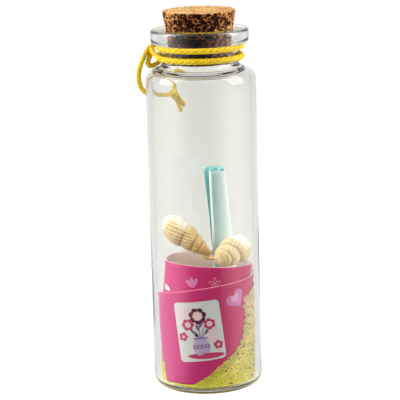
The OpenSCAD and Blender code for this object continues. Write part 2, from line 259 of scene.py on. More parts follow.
def lathe_points(profile, n, shift=None):
    """Points of a profile turned n steps about Z: shape (steps, points, 3)."""
    p = np.asarray(profile)
    a = np.linspace(0, 2 * math.pi, n, endpoint=False)[:, None]
    r, z = np.broadcast_to(p[:, 0], (n, len(p))), np.broadcast_to(p[:, 1], (n, len(p)))
    if shift is not None:
        r = r + shift(a, r, z)
    return np.stack([r * np.cos(a), r * np.sin(a), z + 0 * a], axis=2)


def polar(r, a, z):
    return np.stack([r * np.cos(np.radians(a)), r * np.sin(np.radians(a)), z + 0 * r], axis=-1)


def turned(x, y, degrees):
    """Flat points turned about the origin: shape (points, 2)."""
    c, s = math.cos(math.radians(degrees)), math.sin(math.radians(degrees))
    return np.stack([c * x - s * y, s * x + c * y], axis=1)


def stand(d):
    """Turns +Z to the direction d, as part.scad's stand does."""
    x = np.cross([0, 1, 0], d)
    x /= np.linalg.norm(x)
    return np.stack([x, np.cross(d, x), d], axis=1)


def smooth_line(points, k):
    """A Catmull-Rom line through points, k steps for each span."""
    p = np.asarray(points, dtype=float)
    last = len(p) - 1
    out = []
    for i in range(last):
        q = [p[min(max(i + d, 0), last)] for d in (-1, 0, 1, 2)]
        for s in range(k):
            t = s / k
            out.append(0.5 * (2 * q[1] + (q[2] - q[0]) * t + (2 * q[0] - 5 * q[1] + 4 * q[2] - q[3]) * t * t
                              + (3 * q[1] - q[0] - 3 * q[2] + q[3]) * t ** 3))
    return np.array(out + [p[-1]])


def wave(x, y, z, seed, size):
    """A smooth random field from -1 to 1, with waves of about that size."""
    g = np.random.default_rng(seed)
    v = 0
    for k in range(6):
        d = g.normal(size=3)
        d /= np.linalg.norm(d)
        v = v + np.sin((x * d[0] + y * d[1] + z * d[2]) * (1 + 0.35 * k) * 2 * math.pi / size + g.uniform(0, 6.28))
    return np.clip(v / 3, -1, 1)


def wave_at(p, seed, size):
    return wave(p[..., 0], p[..., 1], p[..., 2], seed, size)


def ease(x):
    """Goes smoothly from 0 to 1 as x does."""
    t = np.clip(x, 0, 1)
    return t * t * (3 - 2 * t)


# Glass

def glass_material():
    """Clear glass that lets lamplight through to what is inside."""
    m = material("clear_glass", srgb(240, 240, 236), 0.0, IOR=1.49, Transmission_Weight=1.0)
    path = node(m, "LightPath")
    clear = node(m, "BsdfTransparent", Color=(0.97, 0.98, 0.97, 1))
    pick = node(m, "MixShader")
    link(m, path.outputs["Is Shadow Ray"], pick.inputs[0])
    link(m, bsdf(m).outputs["BSDF"], pick.inputs[1])
    link(m, clear.outputs["BSDF"], pick.inputs[2])
    link(m, pick.outputs["Shader"], m.node_tree.nodes["Material Output"].inputs["Surface"])
    return m


def glass_outside():
    """The outer profile, from the middle of the foot up to the rim."""
    ball_r = (DOME_R ** 2 + DOME_H ** 2) / (2 * DOME_H)
    dome = [(x, DOME_H - ball_r + math.sqrt(ball_r ** 2 - x ** 2)) for x in np.linspace(0.05, DOME_R, 14)]
    heel = arc(BODY_R - HEEL_R, HEEL_R, HEEL_R, -90, 0, 12)
    body = [(BODY_R, z) for z in np.linspace(5, 83, 40)]
    shoulder = (arc(BODY_R - 3.6, SHOULDER_Z - 3.6, 3.6, 0, 90, 14)
                + arc(NECK_R + 1.5, SHOULDER_Z + 1.5, 1.5, -90, -180, 9))
    neck = [(NECK_R, z) for z in (91, 93, 94.6)] + [(NECK_R + 0.3, 95.05)]
    collar = (arc(COLLAR_R - 0.8, 95.9, 0.8, -90, 0, 7) + [(COLLAR_R, 97)]
              + arc(COLLAR_R - 0.8, 98.2, 0.8, 0, 90, 7))
    rim = [(11, GLASS_H), (MOUTH_R + 0.7, GLASS_H)]
    return dome + [(11.8, 0)] + heel + body + shoulder + neck + collar + rim


def glass_inside():
    """The inner profile, from the mouth down to the middle of the floor."""
    ceiling = SHOULDER_Z - WALL
    mouth = arc(MOUTH_R + 0.3, GLASS_H - 0.3, 0.3, 90, 180, 4) + [(MOUTH_R, z) for z in np.linspace(97, 89.6, 8)]
    shoulder = arc(MOUTH_R + 2, ceiling + 2, 2, 180, 270, 9) + arc(CAVITY_R - 2, ceiling - 2, 2, 90, 0, 9)
    wall = [(CAVITY_R, z) for z in np.linspace(82, 5, 60)]
    heel = arc(CAVITY_R - CAVITY_HEEL_R, BASE_T + CAVITY_HEEL_R, CAVITY_HEEL_R, 0, -90, 5)
    floor = [(x, BASE_T) for x in (12, 8, 4, 0.05)]
    return mouth + shoulder + wall + heel + floor


def glass():
    outside, inside = glass_outside(), glass_inside()

    def shift(a, r, z):
        """Slight waves in the body's wall, none at its ends. The outside only ever gives way inwards."""
        s = (0.035 * np.sin(2 * a + 1) * np.sin(z / 21 + 1) + 0.02 * np.sin(3 * a + z / 13)
             + 0.012 * np.sin(7 * a + z / 9))
        body = np.clip((z - 3) / 8, 0, 1) * np.clip((86.5 - z) / 3, 0, 1)
        inner_side = (np.arange(r.shape[1]) >= len(outside))[None, :]
        return np.where(inner_side, s * 1.2 * body, -np.abs(s) * 0.3 * body)

    steps = 256
    p = lathe_points(outside + inside, steps, shift)
    o = mesh_object("glass_bottle", p, turned_faces(steps, p.shape[1]), glass_material())
    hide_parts("bottle")
    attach(o, "bottle")


# Cork

def cork_material():
    m = material("cork_grain", srgb(205, 155, 100), 0.85)
    grain = ramp(m, cells(m, 900, "Color"),
                 [(0.1, srgb(210, 150, 86)), (0.5, srgb(239, 188, 119)), (0.9, srgb(253, 218, 156))])
    fine = ramp(m, noise(m, 2600, 4, 0.7), [(0.36, srgb(120, 74, 36)), (0.5, (1, 1, 1))])
    edges = ramp(m, cells(m, 900, "Distance", "DISTANCE_TO_EDGE"), [(0.0, srgb(140, 90, 48)), (0.09, (1, 1, 1))])
    base = mix(m, 0.55, grain, fine, "MULTIPLY")
    base = mix(m, 0.6, base, edges, "MULTIPLY")
    pit = ramp(m, attribute(m, "pit"), [(0.02, (0, 0, 0)), (0.3, (1, 1, 1))])
    color = mix(m, pit, base, srgb(40, 17, 7))
    color = mix(m, attribute(m, "side"), color, srgb(255, 226, 208), "MULTIPLY")
    # Painted shade on the side of the cork that faces the front
    color = mix(m, attribute(m, "stain"), color, srgb(176, 146, 124), "MULTIPLY")
    # Painted shade on the part of the cork down in the glass
    color = mix(m, attribute(m, "sunk"), color, srgb(110, 70, 46), "MULTIPLY")
    paint(m, color)
    bump(m, noise(m, 3000, 3, 0.6), 0.35, 0.0003)
    return m


def cork_r(z):
    """The cork's radius at a height above its foot."""
    return CORK_R0 + CORK_SLOPE * z


def cork_spots():
    """Places and radii of the pits on the cork's side and top."""
    spots = []

    def add(r, a, z, sizes, odds):
        spots.append(((r * math.cos(a), r * math.sin(a), z + CORK_Z0), RNG.choice(sizes, p=odds)))

    for _ in range(4900):
        z, a = RNG.uniform(0.3, CORK_H - 0.1), RNG.uniform(0, 2 * math.pi)
        if RNG.uniform() <= 0.6 + 0.4 * abs(math.sin(a)) ** 1.5:
            add(cork_r(z), a, z, [0.2, 0.28, 0.4, 0.6], [0.4, 0.36, 0.2, 0.04])
    for _ in range(230):
        r, a = cork_r(CORK_H) * math.sqrt(RNG.uniform(0, 0.97)), RNG.uniform(0, 2 * math.pi)
        add(r, a, CORK_H, [0.22, 0.3, 0.42], [0.6, 0.3, 0.1])
    return spots


def pit_depths(p, spots):
    """How far each of the points lies down in a pit, from 0 to 1. Pits are squeezed and leaning ovals."""
    points = p.reshape(-1, 3)
    tree = KDTree(len(points))
    for i, v in enumerate(points):
        tree.insert(v, i)
    tree.balance()
    deep = np.zeros(len(points))
    squeezes = RNG.uniform(0.5, 1, len(spots))
    for (at, size), squeeze in zip(spots, squeezes):
        lean = 0.4 * math.sin(37 * at[0] + 11 * at[2])
        for co, i, _ in tree.find_range(at, size * 1.3):
            d = np.array(co) - at
            d[2] = d[2] / squeeze + lean * math.hypot(d[0], d[1]) * (1 if d[0] > 0 else -1)
            q = np.linalg.norm(d) / size
            if q < 1:
                deep[i] = max(deep[i], 1 - q * q)
    return deep.reshape(p.shape[:-1])


def cork():
    bevel, steps = 0.35, 330
    bottom = [(x, 0.0) for x in np.linspace(0.05, cork_r(0) - bevel, 10)]
    side = [(cork_r(z), z) for z in np.linspace(bevel, CORK_H - bevel, 84)]
    top = [(x, CORK_H) for x in np.linspace(cork_r(CORK_H) - bevel, 0.05, 46)]
    p = lathe_points(bottom + side + top, steps)
    p[:, :, 2] += CORK_Z0
    row = np.arange(p.shape[1])[None, :]
    on_side = (row >= len(bottom)) & (row < len(bottom) + len(side))
    on_top = row >= len(bottom) + len(side)
    r = np.hypot(p[:, :, 0], p[:, :, 1])
    out = p[:, :, :2] / r[:, :, None]
    pit = pit_depths(p, cork_spots())
    hole = np.clip(pit * 2, 0, 1)
    depth = 0.26 * hole + 0.04 * (1 + wave_at(p, 5, 1.7)) * 0.5
    p[:, :, :2] -= out * (depth * on_side)[:, :, None]
    p[:, :, 2] -= (0.22 * hole + 0.05 * (1 + wave_at(p, 8, 2.1)) * 0.5) * on_top
    # Painted shade: the part down in the glass is darker, most of all at the front
    sunk = 0.92 * ease((GLASS_H - 0.2 - p[:, :, 2] + 0.5 * wave_at(p, 61, 3)) / 2.4)
    # Painted shade on the side of the cork that faces the front
    stain = on_side * np.clip(-out[:, :, 1] - 0.2 * out[:, :, 0], 0, 1) ** 4
    o = mesh_object("cork", p, turned_faces(steps, p.shape[1]), cork_material(),
                    pit=pit, sunk=sunk * (0.3 + 0.7 * stain), stain=stain, side=on_side + 0 * r)
    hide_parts("stopper")
    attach(o, "stopper")


# Rolled card, on the same spiral as in part.scad

# How the top edge climbs: (part of the winding, part of the rise)
CLIMB = np.array([[0, 0], [0.09, 0.22], [0.14, 0.34], [0.19, 0.42], [0.24, 0.47], [0.28, 0.51], [0.35, 0.68],
                  [0.5, 0.84], [0.67, 0.95], [0.78, 1], [0.86, 0.94], [1, 0.78]])
CLIMB_U = np.linspace(0, 1, 400)


def smoothed(values, window):
    """A running mean over an odd number of values, with a Hann window for weights."""
    padded = np.pad(values, window // 2, mode="reflect", reflect_type="odd")
    return np.convolve(padded, np.hanning(window) / np.hanning(window).sum(), mode="valid")


CLIMB_V = smoothed(np.interp(CLIMB_U, CLIMB[:, 0], CLIMB[:, 1]), 29)


def card_down(z):
    """1 at the card's foot, 0 from the outer corner's height up."""
    return np.maximum(0, 1 - (z - CARD_Z0) / CARD_LOW)


def card_edge(a):
    """Height of the card's top edge at an angle along the roll."""
    return CARD_Z0 + CARD_LOW + CARD_RISE * np.interp((a - CARD_START) / CARD_WIND, CLIMB_U, CLIMB_V)


def card_draw(a, z):
    """How far the card is drawn in from the glass on the right, most of all at its foot."""
    t = np.mod(a - 268 + 38 * card_down(z) ** 6 + 720, 360)
    return (ease(t / 115) * (1 - ease((t - 150) / 130))
            * (0.75 * ease((card_edge(a) - z) / 4) + 2.8 * card_down(z) ** 3))


def card_mid_r(a, z):
    """Radius of the card's middle surface. The second turn steps inwards."""
    w = ease(1.6 * (CARD_TOP - z) / (CARD_TOP - CARD_Z0))
    step = ((1 - w) * (1.3 - 0.8 * np.cos(np.radians(a)))
            + w * (0.2 + 0.45 * ease((a - 540) / 22) + 0.6 * ease((9 - z) / 5)))
    return CARD_R - ease((a - 330) / 180) * step - card_draw(a, z)


def card_material():
    m = material("card_print", srgb(205, 32, 96), 0.5)
    # Along the roll: partly the print's own pinks, partly painted light where the card faces left and painted shade
    # where it faces right
    color = ramp(m, attribute(m, "along"),
                 [(0.0, srgb(210, 44, 134)), (0.2, srgb(202, 38, 104)), (0.42, srgb(190, 32, 90)),
                  (0.7, srgb(208, 44, 132)), (0.86, srgb(202, 36, 102)), (1.0, srgb(192, 32, 90))])
    speck = ramp(m, noise(m, 5200, 2, 0.5), [(0.76, (0, 0, 0)), (0.8, (1, 1, 1))])
    paint(m, mix(m, speck, color, srgb(238, 140, 180)))
    bump(m, noise(m, 600, 3, 0.5), 0.12, 0.0002)
    return m


def card():
    n, rows = 560, 40
    u = np.linspace(0, 1, n)[:, None]
    v = np.linspace(0, 1, rows)[None, :]
    a = CARD_START + CARD_WIND * u
    z = CARD_Z0 + (card_edge(a) - CARD_Z0) * v
    b = a + CARD_SKEW * card_down(z) * (1 - u)
    r = card_mid_r(b, z) + 0.015 * wave(a / 9, z, 0 * z, 3, 14)
    p = np.stack([polar(r + side * CARD_T / 2, b, z) for side in (-1, 1)], axis=2)
    faces, lies = sheet_faces(n, rows)
    inside = material("card_back", srgb(255, 230, 226), 0.7)
    edge = material("card_edge", srgb(244, 206, 216), 0.7)
    slots = np.array([1, 0, 2])[lies]  # skin 1, the outer one, has the print
    o = mesh_object("rolled_card", p, faces, [card_material(), inside, edge], slots,
                    along=np.repeat(u, rows * 2))
    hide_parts("card_roll")
    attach(o, "bottle")


# Print on the card: flat shapes in millimetres, x along the card and y up

PANEL = (261, 18.0, 6.8)


def blob(x, y, rx, ry=None, turn=0.0, k=40, power=2.0):
    """Outline of an ellipse, or of a rounded box with a higher power."""
    t = np.linspace(0, 2 * math.pi, k, endpoint=False)
    ex = np.sign(np.cos(t)) * np.abs(np.cos(t)) ** (2 / power) * rx
    ey = np.sign(np.sin(t)) * np.abs(np.sin(t)) ** (2 / power) * (ry or rx)
    return turned(ex, ey, turn) + [x, y]


def heart(x, y, size, turn):
    t = np.linspace(0, 2 * math.pi, 48, endpoint=False)
    hx = 16 * np.sin(t) ** 3 / 17
    hy = (13 * np.cos(t) - 5 * np.cos(2 * t) - 2 * np.cos(3 * t) - np.cos(4 * t)) / 17
    return size * turned(hx, hy, turn) + [x, y]


def box(x, y, rx, ry, corner):
    """Outline of a box with round corners."""
    t = np.radians(np.linspace(0, 90, 7))
    quarter = np.stack([rx - corner + corner * np.cos(t), ry - corner + corner * np.sin(t)], axis=1)
    flip = np.array([[1, 1], [-1, 1], [-1, -1], [1, -1]])
    return np.concatenate([(quarter if k % 2 == 0 else quarter[::-1]) * flip[k] for k in range(4)]) + [x, y]


def rosette(x, y, r, petals, depth, turn=0.0):
    """Outline of a flower with round petals."""
    t = np.linspace(0, 2 * math.pi, 16 * petals, endpoint=False)
    q = r * (1 - depth + depth * np.abs(np.cos(petals * (t - math.radians(turn)) / 2)) ** 0.6)
    return np.stack([x + q * np.cos(t), y + q * np.sin(t)], axis=1)


def filled(outline):
    """Points and faces that fill an outline in rings about its middle, so that the print bends with the card."""
    outline, line = np.array(outline), []
    for a, b in zip(outline, np.roll(outline, -1, axis=0)):
        k = max(1, math.ceil(np.linalg.norm(b - a) / 0.3))
        line += [a + (b - a) * i / k for i in range(k)]
    mid = np.mean(line, axis=0)
    n, rings = len(line), math.ceil(np.linalg.norm(line - mid, axis=1).max() / 0.5)
    points = np.concatenate([[mid]] + [mid + (line - mid) * k / rings for k in range(1, rings + 1)])
    fan = [[0, 1 + i, 1 + (i + 1) % n] for i in range(n)]
    return points, fan + (1 + grid_faces(rings, n, wrap_m=True)).tolist()


def strip(outline, width):
    """Points and faces of a closed line along the inner side of an outline."""
    mid = outline.mean(axis=0)
    d = outline - mid
    length = np.linalg.norm(d, axis=1, keepdims=True)
    return np.concatenate([mid + d * (1 - width / length), outline]), grid_faces(2, len(d), wrap_m=True).tolist()


def printed(name, color, at, layers):
    """A print of one colour on the card's outer face, at an angle, a height and a turn.

    Each layer lies a little above the one before. It holds outlines to fill, or points and faces as they are.
    """
    angle, height, turn = at
    parts = []
    for layer, shapes in layers.items():
        for xy, faces in (s if isinstance(s, tuple) else filled(s) for s in shapes):
            x, y = turned(xy[:, 0], xy[:, 1], turn).T
            a, z = angle + np.degrees(x / CARD_R), height + y
            lift = CARD_T / 2 + 0.02 + 0.012 * layer
            parts.append((polar(card_mid_r(a, z) + lift, a, z), faces, np.full(len(xy), layer)))
    points, faces, _ = join(parts)
    name, color = "print_" + name, srgb(*color)
    m = material(name, color, 0.45)
    paint(m, ramp(m, noise(m, 1800, 2, 0.5), [(0.3, tuple(0.93 * c for c in color)), (0.7, color)]))
    o = mesh_object(name, points, faces, m)
    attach(o, "bottle")


def panel_print():
    """The white panel at the card's front with its vase of flowers."""
    vase = [(-1.5, -2.3), (-2.2, -3.6), (-2.3, -4.7), (-1.8, -5.9), (-1.1, -6.7), (1.1, -6.7), (1.8, -5.9),
            (2.3, -4.7), (2.2, -3.6), (1.5, -2.3), (1.9, -1.8), (-1.9, -1.8)]
    stems = [[(x0 - 0.14, -1.8), (x0 + 0.14, -1.8), (x1 + 0.1, y1), (x1 - 0.1, y1)] for x0, x1, y1 in
             ((-0.6, -2.6, 2.2), (0, 0.1, 3.0), (0.6, 2.7, 1.8), (-0.2, -1.2, 0.6), (0.3, 1.2, 1.0))]
    leaves = [blob(x, y, 0.95, 0.36, turn)
              for x, y, turn in ((-1.7, 0.1, 130), (1.9, -0.2, 50), (-0.4, 1.2, 105), (0.7, 2.0, 60))]
    dots = [blob(x, -4.3, 0.2) for x in (-1.5, -0.5, 0.5, 1.5)]
    for name, color, layers in (
            ("panel", (224, 226, 226), {0: [box(0, 0, 6.15, 8.35, 1.1)]}),
            ("wash", (238, 214, 228), {1: [blob(-3.0, 5.2, 2.3, 2.0), blob(3.4, -1.4, 1.7, 1.9)]}),
            ("vase", (198, 176, 212), {1: [vase]}),
            ("vase_band", (146, 120, 178), {2: [box(0, -4.3, 2.2, 0.5, 0.2), box(0, -1.9, 1.9, 0.22, 0.1)]}),
            ("stems", (128, 96, 132), {1: stems + leaves}),
            ("bloom_dark", (84, 36, 54), {2: [rosette(0.1, 4.4, 2.35, 7, 0.24, 10), blob(-0.9, -0.9, 0.5)]}),
            ("bloom_rose", (204, 58, 108),
             {3: [rosette(-2.8, 2.1, 1.7, 6, 0.26), rosette(2.9, 1.9, 1.6, 6, 0.26, 30)],
              1: [blob(0.9, -7.0, 4.9, 0.85, -3), rosette(-4.5, -1.2, 1.3, 5, 0.3),
                  rosette(4.4, -4.3, 1.3, 5, 0.3, 20)]}),
            ("pale", (240, 206, 208),
             {3: [rosette(0.1, 4.4, 1.35, 7, 0.2, 30)] + dots,
              4: [rosette(-2.8, 2.1, 0.85, 6, 0.2), rosette(2.9, 1.9, 0.8, 6, 0.2)],
              2: [blob(-4.5, -1.2, 0.4), blob(4.4, -4.3, 0.4)]})):
        printed(name, color, PANEL, layers)


def loose_print():
    """The heart and dots beside the panel, and what shows of the inner turn above the card's edge."""
    printed("heart", (212, 128, 190), (306, 26.3, 8), {0: [heart(0, 0, 3.0, 26)]})
    printed("heart_light", (230, 168, 212), (306, 26.3, 8), {2: [heart(-0.2, 0.3, 1.4, 26)]})
    dots = [rosette(x, y, 1.6 * r, 5, 0.25) for x, y, r in ((0, 0, 0.26), (0.7, 0.5, 0.19), (0.2, 1.0, 0.24),
                                                            (-0.5, -0.8, 0.17), (1.2, -0.3, 0.18), (0.9, 1.4, 0.16))]
    printed("dots", (250, 240, 246), (319.5, 24.4, 0), {0: dots})
    petals = [strip(blob(*polar(0.95, t, 0)[:2], 0.9, 0.45, t, k=24), 0.2) for t in range(90, 450, 72)]
    leaves = [blob(*polar(1.2, t, 0)[:2] + [0.2, -0.6], 1.5, 0.62, t) for t in (60, 100, 140)]
    printed("flower", (240, 150, 188), (641, 31.0, 0), {0: petals})
    printed("leaf", (222, 126, 182), (612, 30.8, 0), {0: leaves})
    tag = [(-2.4, -1.3), (1.2, -1.3), (0.9, -0.4), (-2.4, 0.3)]
    printed("tag", (250, 244, 248), (570, 29.2, 0), {0: [tag]})


# Paper scroll

SCROLL_X, SCROLL_Y = 0.444 * CAVITY_R, 0.315 * CAVITY_R
SCROLL_FOOT = np.array([SCROLL_X, SCROLL_Y, SAND_MID + SAND_SLOPE * SCROLL_X - 1.1])
SCROLL_DIR = np.array([-0.217 * CAVITY_R, 0.081 * CAVITY_R, SCROLL_LEN])
SCROLL_DIR /= np.linalg.norm(SCROLL_DIR)
# The rolled paper seen from above at its foot and its head, drawn for radii of 3.8 and 3.2
FOOT_PLAN = [[-2.6, 2.2], [-2, 2.9], [-1.1, 3.4], [0.2, 3.6], [2.2, 3.1], [3.6, 1.2], [3.6, -1.1], [2.4, -2.8],
             [0.3, -3.6], [-1.8, -3.2], [-3.3, -1.9], [-3.6, -0.3], [-2.6, 1.2], [-0.9, 2.2], [1, 2.4], [2.3, 1.2],
             [2.5, -0.4], [1.6, -1.8], [0.1, -2.4], [-1.3, -1.9], [-1.9, -0.7]]
HEAD_PLAN = [[-3.1, 0], [-2.75, 0.9], [-1.9, 1.6], [-0.5, 2.1], [1, 2.6], [2.4, 1.9], [3.1, 0.5], [2.9, -0.8],
             [1.8, -1.6], [0.3, -2.1], [-0.9, -2.2], [-1.35, -1.5], [-1.25, -0.4], [-0.8, 0.6], [0.1, 1.4], [1, 1.5],
             [1.6, 0.7], [1.5, -0.2], [0.9, -0.8], [0.1, -1], [-0.4, -0.6]]
# The paper's teal with painted light and shade across its width, from its hidden end to its free flap: painted light
# on its right side and at the bend, painted shade on the front beside the bend
PAPER_LIGHT_AND_SHADE = [(0.0, srgb(150, 212, 204)), (0.24, srgb(236, 248, 244)), (0.37, srgb(240, 250, 247)),
          (0.43, srgb(202, 228, 232)), (0.48, srgb(172, 202, 206)), (0.51, srgb(244, 252, 250)),
          (0.57, srgb(232, 246, 242)), (1.0, srgb(150, 212, 204))]


def paper_material():
    m = material("scroll_paper", srgb(150, 205, 196), 0.75)
    tint = ramp(m, noise(m, 700, 4, 0.6), [(0.3, srgb(228, 236, 234)), (0.7, (1, 1, 1))])
    # The paper's teal with painted light and shade across its width
    shade = ramp(m, attribute(m, "across"), PAPER_LIGHT_AND_SHADE)
    paint(m, mix(m, 0.5, shade, tint, "MULTIPLY"))
    bump(m, noise(m, 1500, 3, 0.6), 0.1, 0.0002)
    return m


def scroll():
    half, rows = PAPER_T / 2, 60
    foot = smooth_line(np.array(FOOT_PLAN) * (SCROLL_R - half) / 3.8, 10)[::-1]
    head = smooth_line(np.array(HEAD_PLAN) * (SCROLL_TOP_R - half) / 3.2, 10)[::-1]
    n = len(foot)
    h = np.linspace(0, 1, rows)[None, :, None]
    mid = foot[:, None] + (head - foot)[:, None] * h
    tangent = np.gradient(mid, axis=0)
    tangent /= np.linalg.norm(tangent, axis=2, keepdims=True)
    out = np.stack([tangent[:, :, 1], -tangent[:, :, 0]], axis=2)
    # The top edge is cut aslant
    z = h[:, :, 0] * (SCROLL_LEN + 1.6 * (mid[:, :, 1] / 2 - mid[:, :, 0] / 4) / SCROLL_TOP_R)
    wobble = 0.05 * wave(mid[:, :, 0], mid[:, :, 1], z, 21, 16)[:, :, None] * out
    skins = [np.concatenate([mid + wobble + side * half * out, z[:, :, None]], axis=2) for side in (1, -1)]
    p = np.stack([skin @ stand(SCROLL_DIR).T + SCROLL_FOOT for skin in skins], axis=2)
    faces, slots = sheet_faces(n, rows)
    inner = material("scroll_paper_inner", srgb(166, 232, 232), 0.8)
    edge = material("scroll_edge", srgb(232, 242, 236), 0.7)
    o = mesh_object("paper_scroll", p, faces, [paper_material(), inner, edge], slots,
                    across=np.repeat(np.linspace(1, 0, n), rows * 2))
    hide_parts("scroll")
    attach(o, "bottle")


def scroll_ring():
    slack = RING_R - RING_T - SCROLL_R - 0.08
    up = (CARD_TOP - 0.95 - SCROLL_FOOT[2]) / SCROLL_DIR[2]
    at = SCROLL_FOOT + SCROLL_DIR * up + slack * np.array([-0.89, -0.45, 0])
    section = [(RING_R - RING_T / 2 + RING_T / 2 * x, RING_H / 2 * y) for x, y in blob(0, 0, 1, 1, power=2.3, k=20)]
    steps = 128
    p = lathe_points(section, steps)
    p[:, :, :2] *= np.minimum(1 + 0.004 * wave_at(p, 31, 2.5), 1)[:, :, None]
    p = p @ stand(SCROLL_DIR).T + at
    gold = material("ring_gold", srgb(255, 234, 160), 0.24, Metallic=1.0)
    bump(gold, noise(gold, 2500, 2, 0.5), 0.08, 0.0001)
    o = mesh_object("scroll_band", p, grid_faces(steps, p.shape[1], True, True), gold)
    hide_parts("scroll_ring")
    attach(o, "bottle")


# Shells

def shell_material(name):
    m = material(name, srgb(236, 210, 160), 0.38, Coat_Weight=0.25, Coat_Roughness=0.2)
    base = ramp(m, attribute(m, "tone"),
                [(0.0, srgb(146, 98, 48)), (0.25, srgb(206, 160, 92)), (0.5, srgb(238, 214, 158)),
                 (0.75, srgb(248, 236, 204)), (1.0, srgb(251, 247, 238))])
    fleck = ramp(m, noise(m, 1200, 4, 0.65), [(0.32, srgb(204, 160, 104)), (0.55, (1, 1, 1))])
    paint(m, mix(m, 0.35, base, fleck, "MULTIPLY"))
    bump(m, noise(m, 2600, 3, 0.6), 0.12, 0.0002)
    return m


def shell(name, cad_node, apex, way, size, radius, blunt, turn, ribs, depth, first, grow, pale, glaze_and_highlight):
    """A spiral shell that runs in the direction way from its apex (in cavity radii, above the card's top).

    A lower blunt gives a blunter spire, and turn is the mouth's angle. The seam between whorls is depth deep,
    starts at the height first and grows so many times in each turn. The tone starts at pale, and is white from
    the height glaze[0] on where the shell faces up by glaze[1]: the shell's own white glaze with a painted
    highlight on its upper side. Heights are parts of the shell's length.
    """
    n, m = 200, 190
    h = (0.004 + 0.992 * np.linspace(0, 1, m) ** 1.25)[None, :]
    deg = np.linspace(0, 360, n, endpoint=False)[:, None]
    # Outline: the spire up to the widest place, then the body down to the mouth's tip
    wide = 0.62
    body = np.where(h < wide, (np.maximum(h, 0.002) / wide) ** blunt,
                    1 - 0.7 * (np.maximum(h - wide, 0) / (1 - wide)) ** 3.4)
    # Whorls: which one each point is on, the seams between them, and the ribs and fine lines on them
    whorl = np.log(np.maximum(h, 0.01) / first) / math.log(grow) - deg / 360
    last_seam = 0.397
    part = np.mod(whorl, 1)
    bulge = np.sin(np.pi * part ** 0.75) ** 0.5
    groove = np.where(whorl > last_seam, 1, 1 - depth * (1 - bulge))
    rib = np.abs(np.cos(np.radians(ribs * (deg + 22 * whorl)) / 2)) ** 0.7 * 2 - 1.25
    fine = np.cos(2 * np.pi * h * 34)
    # The mouth is a hollow in the body, 0.17 of the length long and 42 degrees wide each way
    across = (np.mod(deg + 540, 360) - 180) / 42
    mouth = 0.34 * np.exp(-(((h - 0.78) / 0.17) ** 2 + across * across))
    d = np.array(way) / np.linalg.norm(way)
    out = polar(1 + 0 * deg, deg + turn, 0) @ stand(d).T
    # Painted highlight on the upper side, together with the shell's own white glaze; the ribs are smoothed there too
    glaze_and_highlight_mask = ease((out[:, :, 2] - glaze_and_highlight[1]) / 0.6) * ease((h - glaze_and_highlight[0]) / 0.1)
    relief = np.minimum(1, 4 * h) * np.where(h > 0.85, (1 - h) / 0.15, 1) * (1 - 0.75 * glaze_and_highlight_mask)
    r = radius * body * groove * (1 + 0.028 * rib * relief + 0.006 * fine * relief - mouth)
    axis = CAVITY_R * np.array(apex) + [0, 0, CARD_TOP] + d * (size * h.ravel())[None, :, None]
    p = axis + r[:, :, None] * out
    seam = np.exp(-np.minimum(part, 1 - part) / 0.06) * (whorl < last_seam)
    # The white on the upper side is partly the shell's own glaze and partly a painted highlight
    tone = pale + 0.19 * rib * relief - 0.26 * seam + 0.62 * glaze_and_highlight_mask + 0.5 * ease((h - 0.86) / 0.1)
    o = mesh_object(name, p, turned_faces(n, m), shell_material(name + "_surface"), tone=np.clip(tone, 0, 1))
    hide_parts(cad_node)
    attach(o, "bottle")


# Sand

SIDES = 240
# Least gap between card and glass that grains fill, by height
REACH_Z = (3, 7, 13, 20, 29)
REACH_GAP = (0.35, 0.26, 0.45, 0.38, 0.32)


def column(z):
    """Angles of the sand's columns, which start at the card's slanting free edge."""
    return CARD_START + CARD_SKEW * card_down(z) + 360 * np.arange(SIDES) / SIDES


def gap(a, z):
    """Room between the card's outer face and the sand's outer wall, at an angle from the card's free edge on."""
    first = CARD_START + CARD_SKEW * card_down(z)
    a = first + np.mod(a - first, 360)
    return SAND_R - card_mid_r(a, z) - CARD_T / 2


def heap(r, a):
    """Height of the sand's sloping top."""
    return SAND_MID + SAND_SLOPE * r * np.cos(np.radians(a))


def inner_wall(a, z):
    """Radius of the sand inside the roll, just short of the card's innermost turn."""
    last = CARD_START + CARD_WIND + 7
    return card_mid_r(last - np.mod(last - a, 360), z) - CARD_T / 2 - 0.12


def outer_wall(z):
    """Radius of the card's sandy outside, at the sand's columns."""
    return np.minimum(SAND_R - 0.05, SAND_R - gap(column(z), z) + 0.45)


def sand_materials():
    mats = []
    for name, color in (("green", (244, 240, 86)), ("yellow", (255, 244, 128)), ("cream", (255, 234, 194)),
                        ("fleck", (206, 112, 80)), ("dark", (140, 132, 60))):
        color = srgb(*color)
        m = material("sand_" + name, color, 0.75)
        paint(m, ramp(m, noise(m, 4000, 2, 0.5), [(0.3, tuple(0.75 * c for c in color)), (0.7, color)]))
        mats.append(m)
    return mats


def bed_material():
    """The sand below the loose grains: the same hues in fine cells."""
    m = material("sand_bed", srgb(240, 232, 110), 0.85)
    tint = ramp(m, attribute(m, "height"),
                [(0.0, srgb(244, 242, 92)), (0.45, srgb(254, 242, 124)), (1.0, srgb(255, 236, 188))])
    grain = ramp(m, cells(m, 3800, "Color"),
                 [(0.1, srgb(150, 142, 90)), (0.3, srgb(232, 224, 190)), (0.7, (1, 1, 1))])
    paint(m, mix(m, 0.8, tint, grain, "MULTIPLY"))
    bump(m, cells(m, 3800), 0.4, 0.0003)
    return m


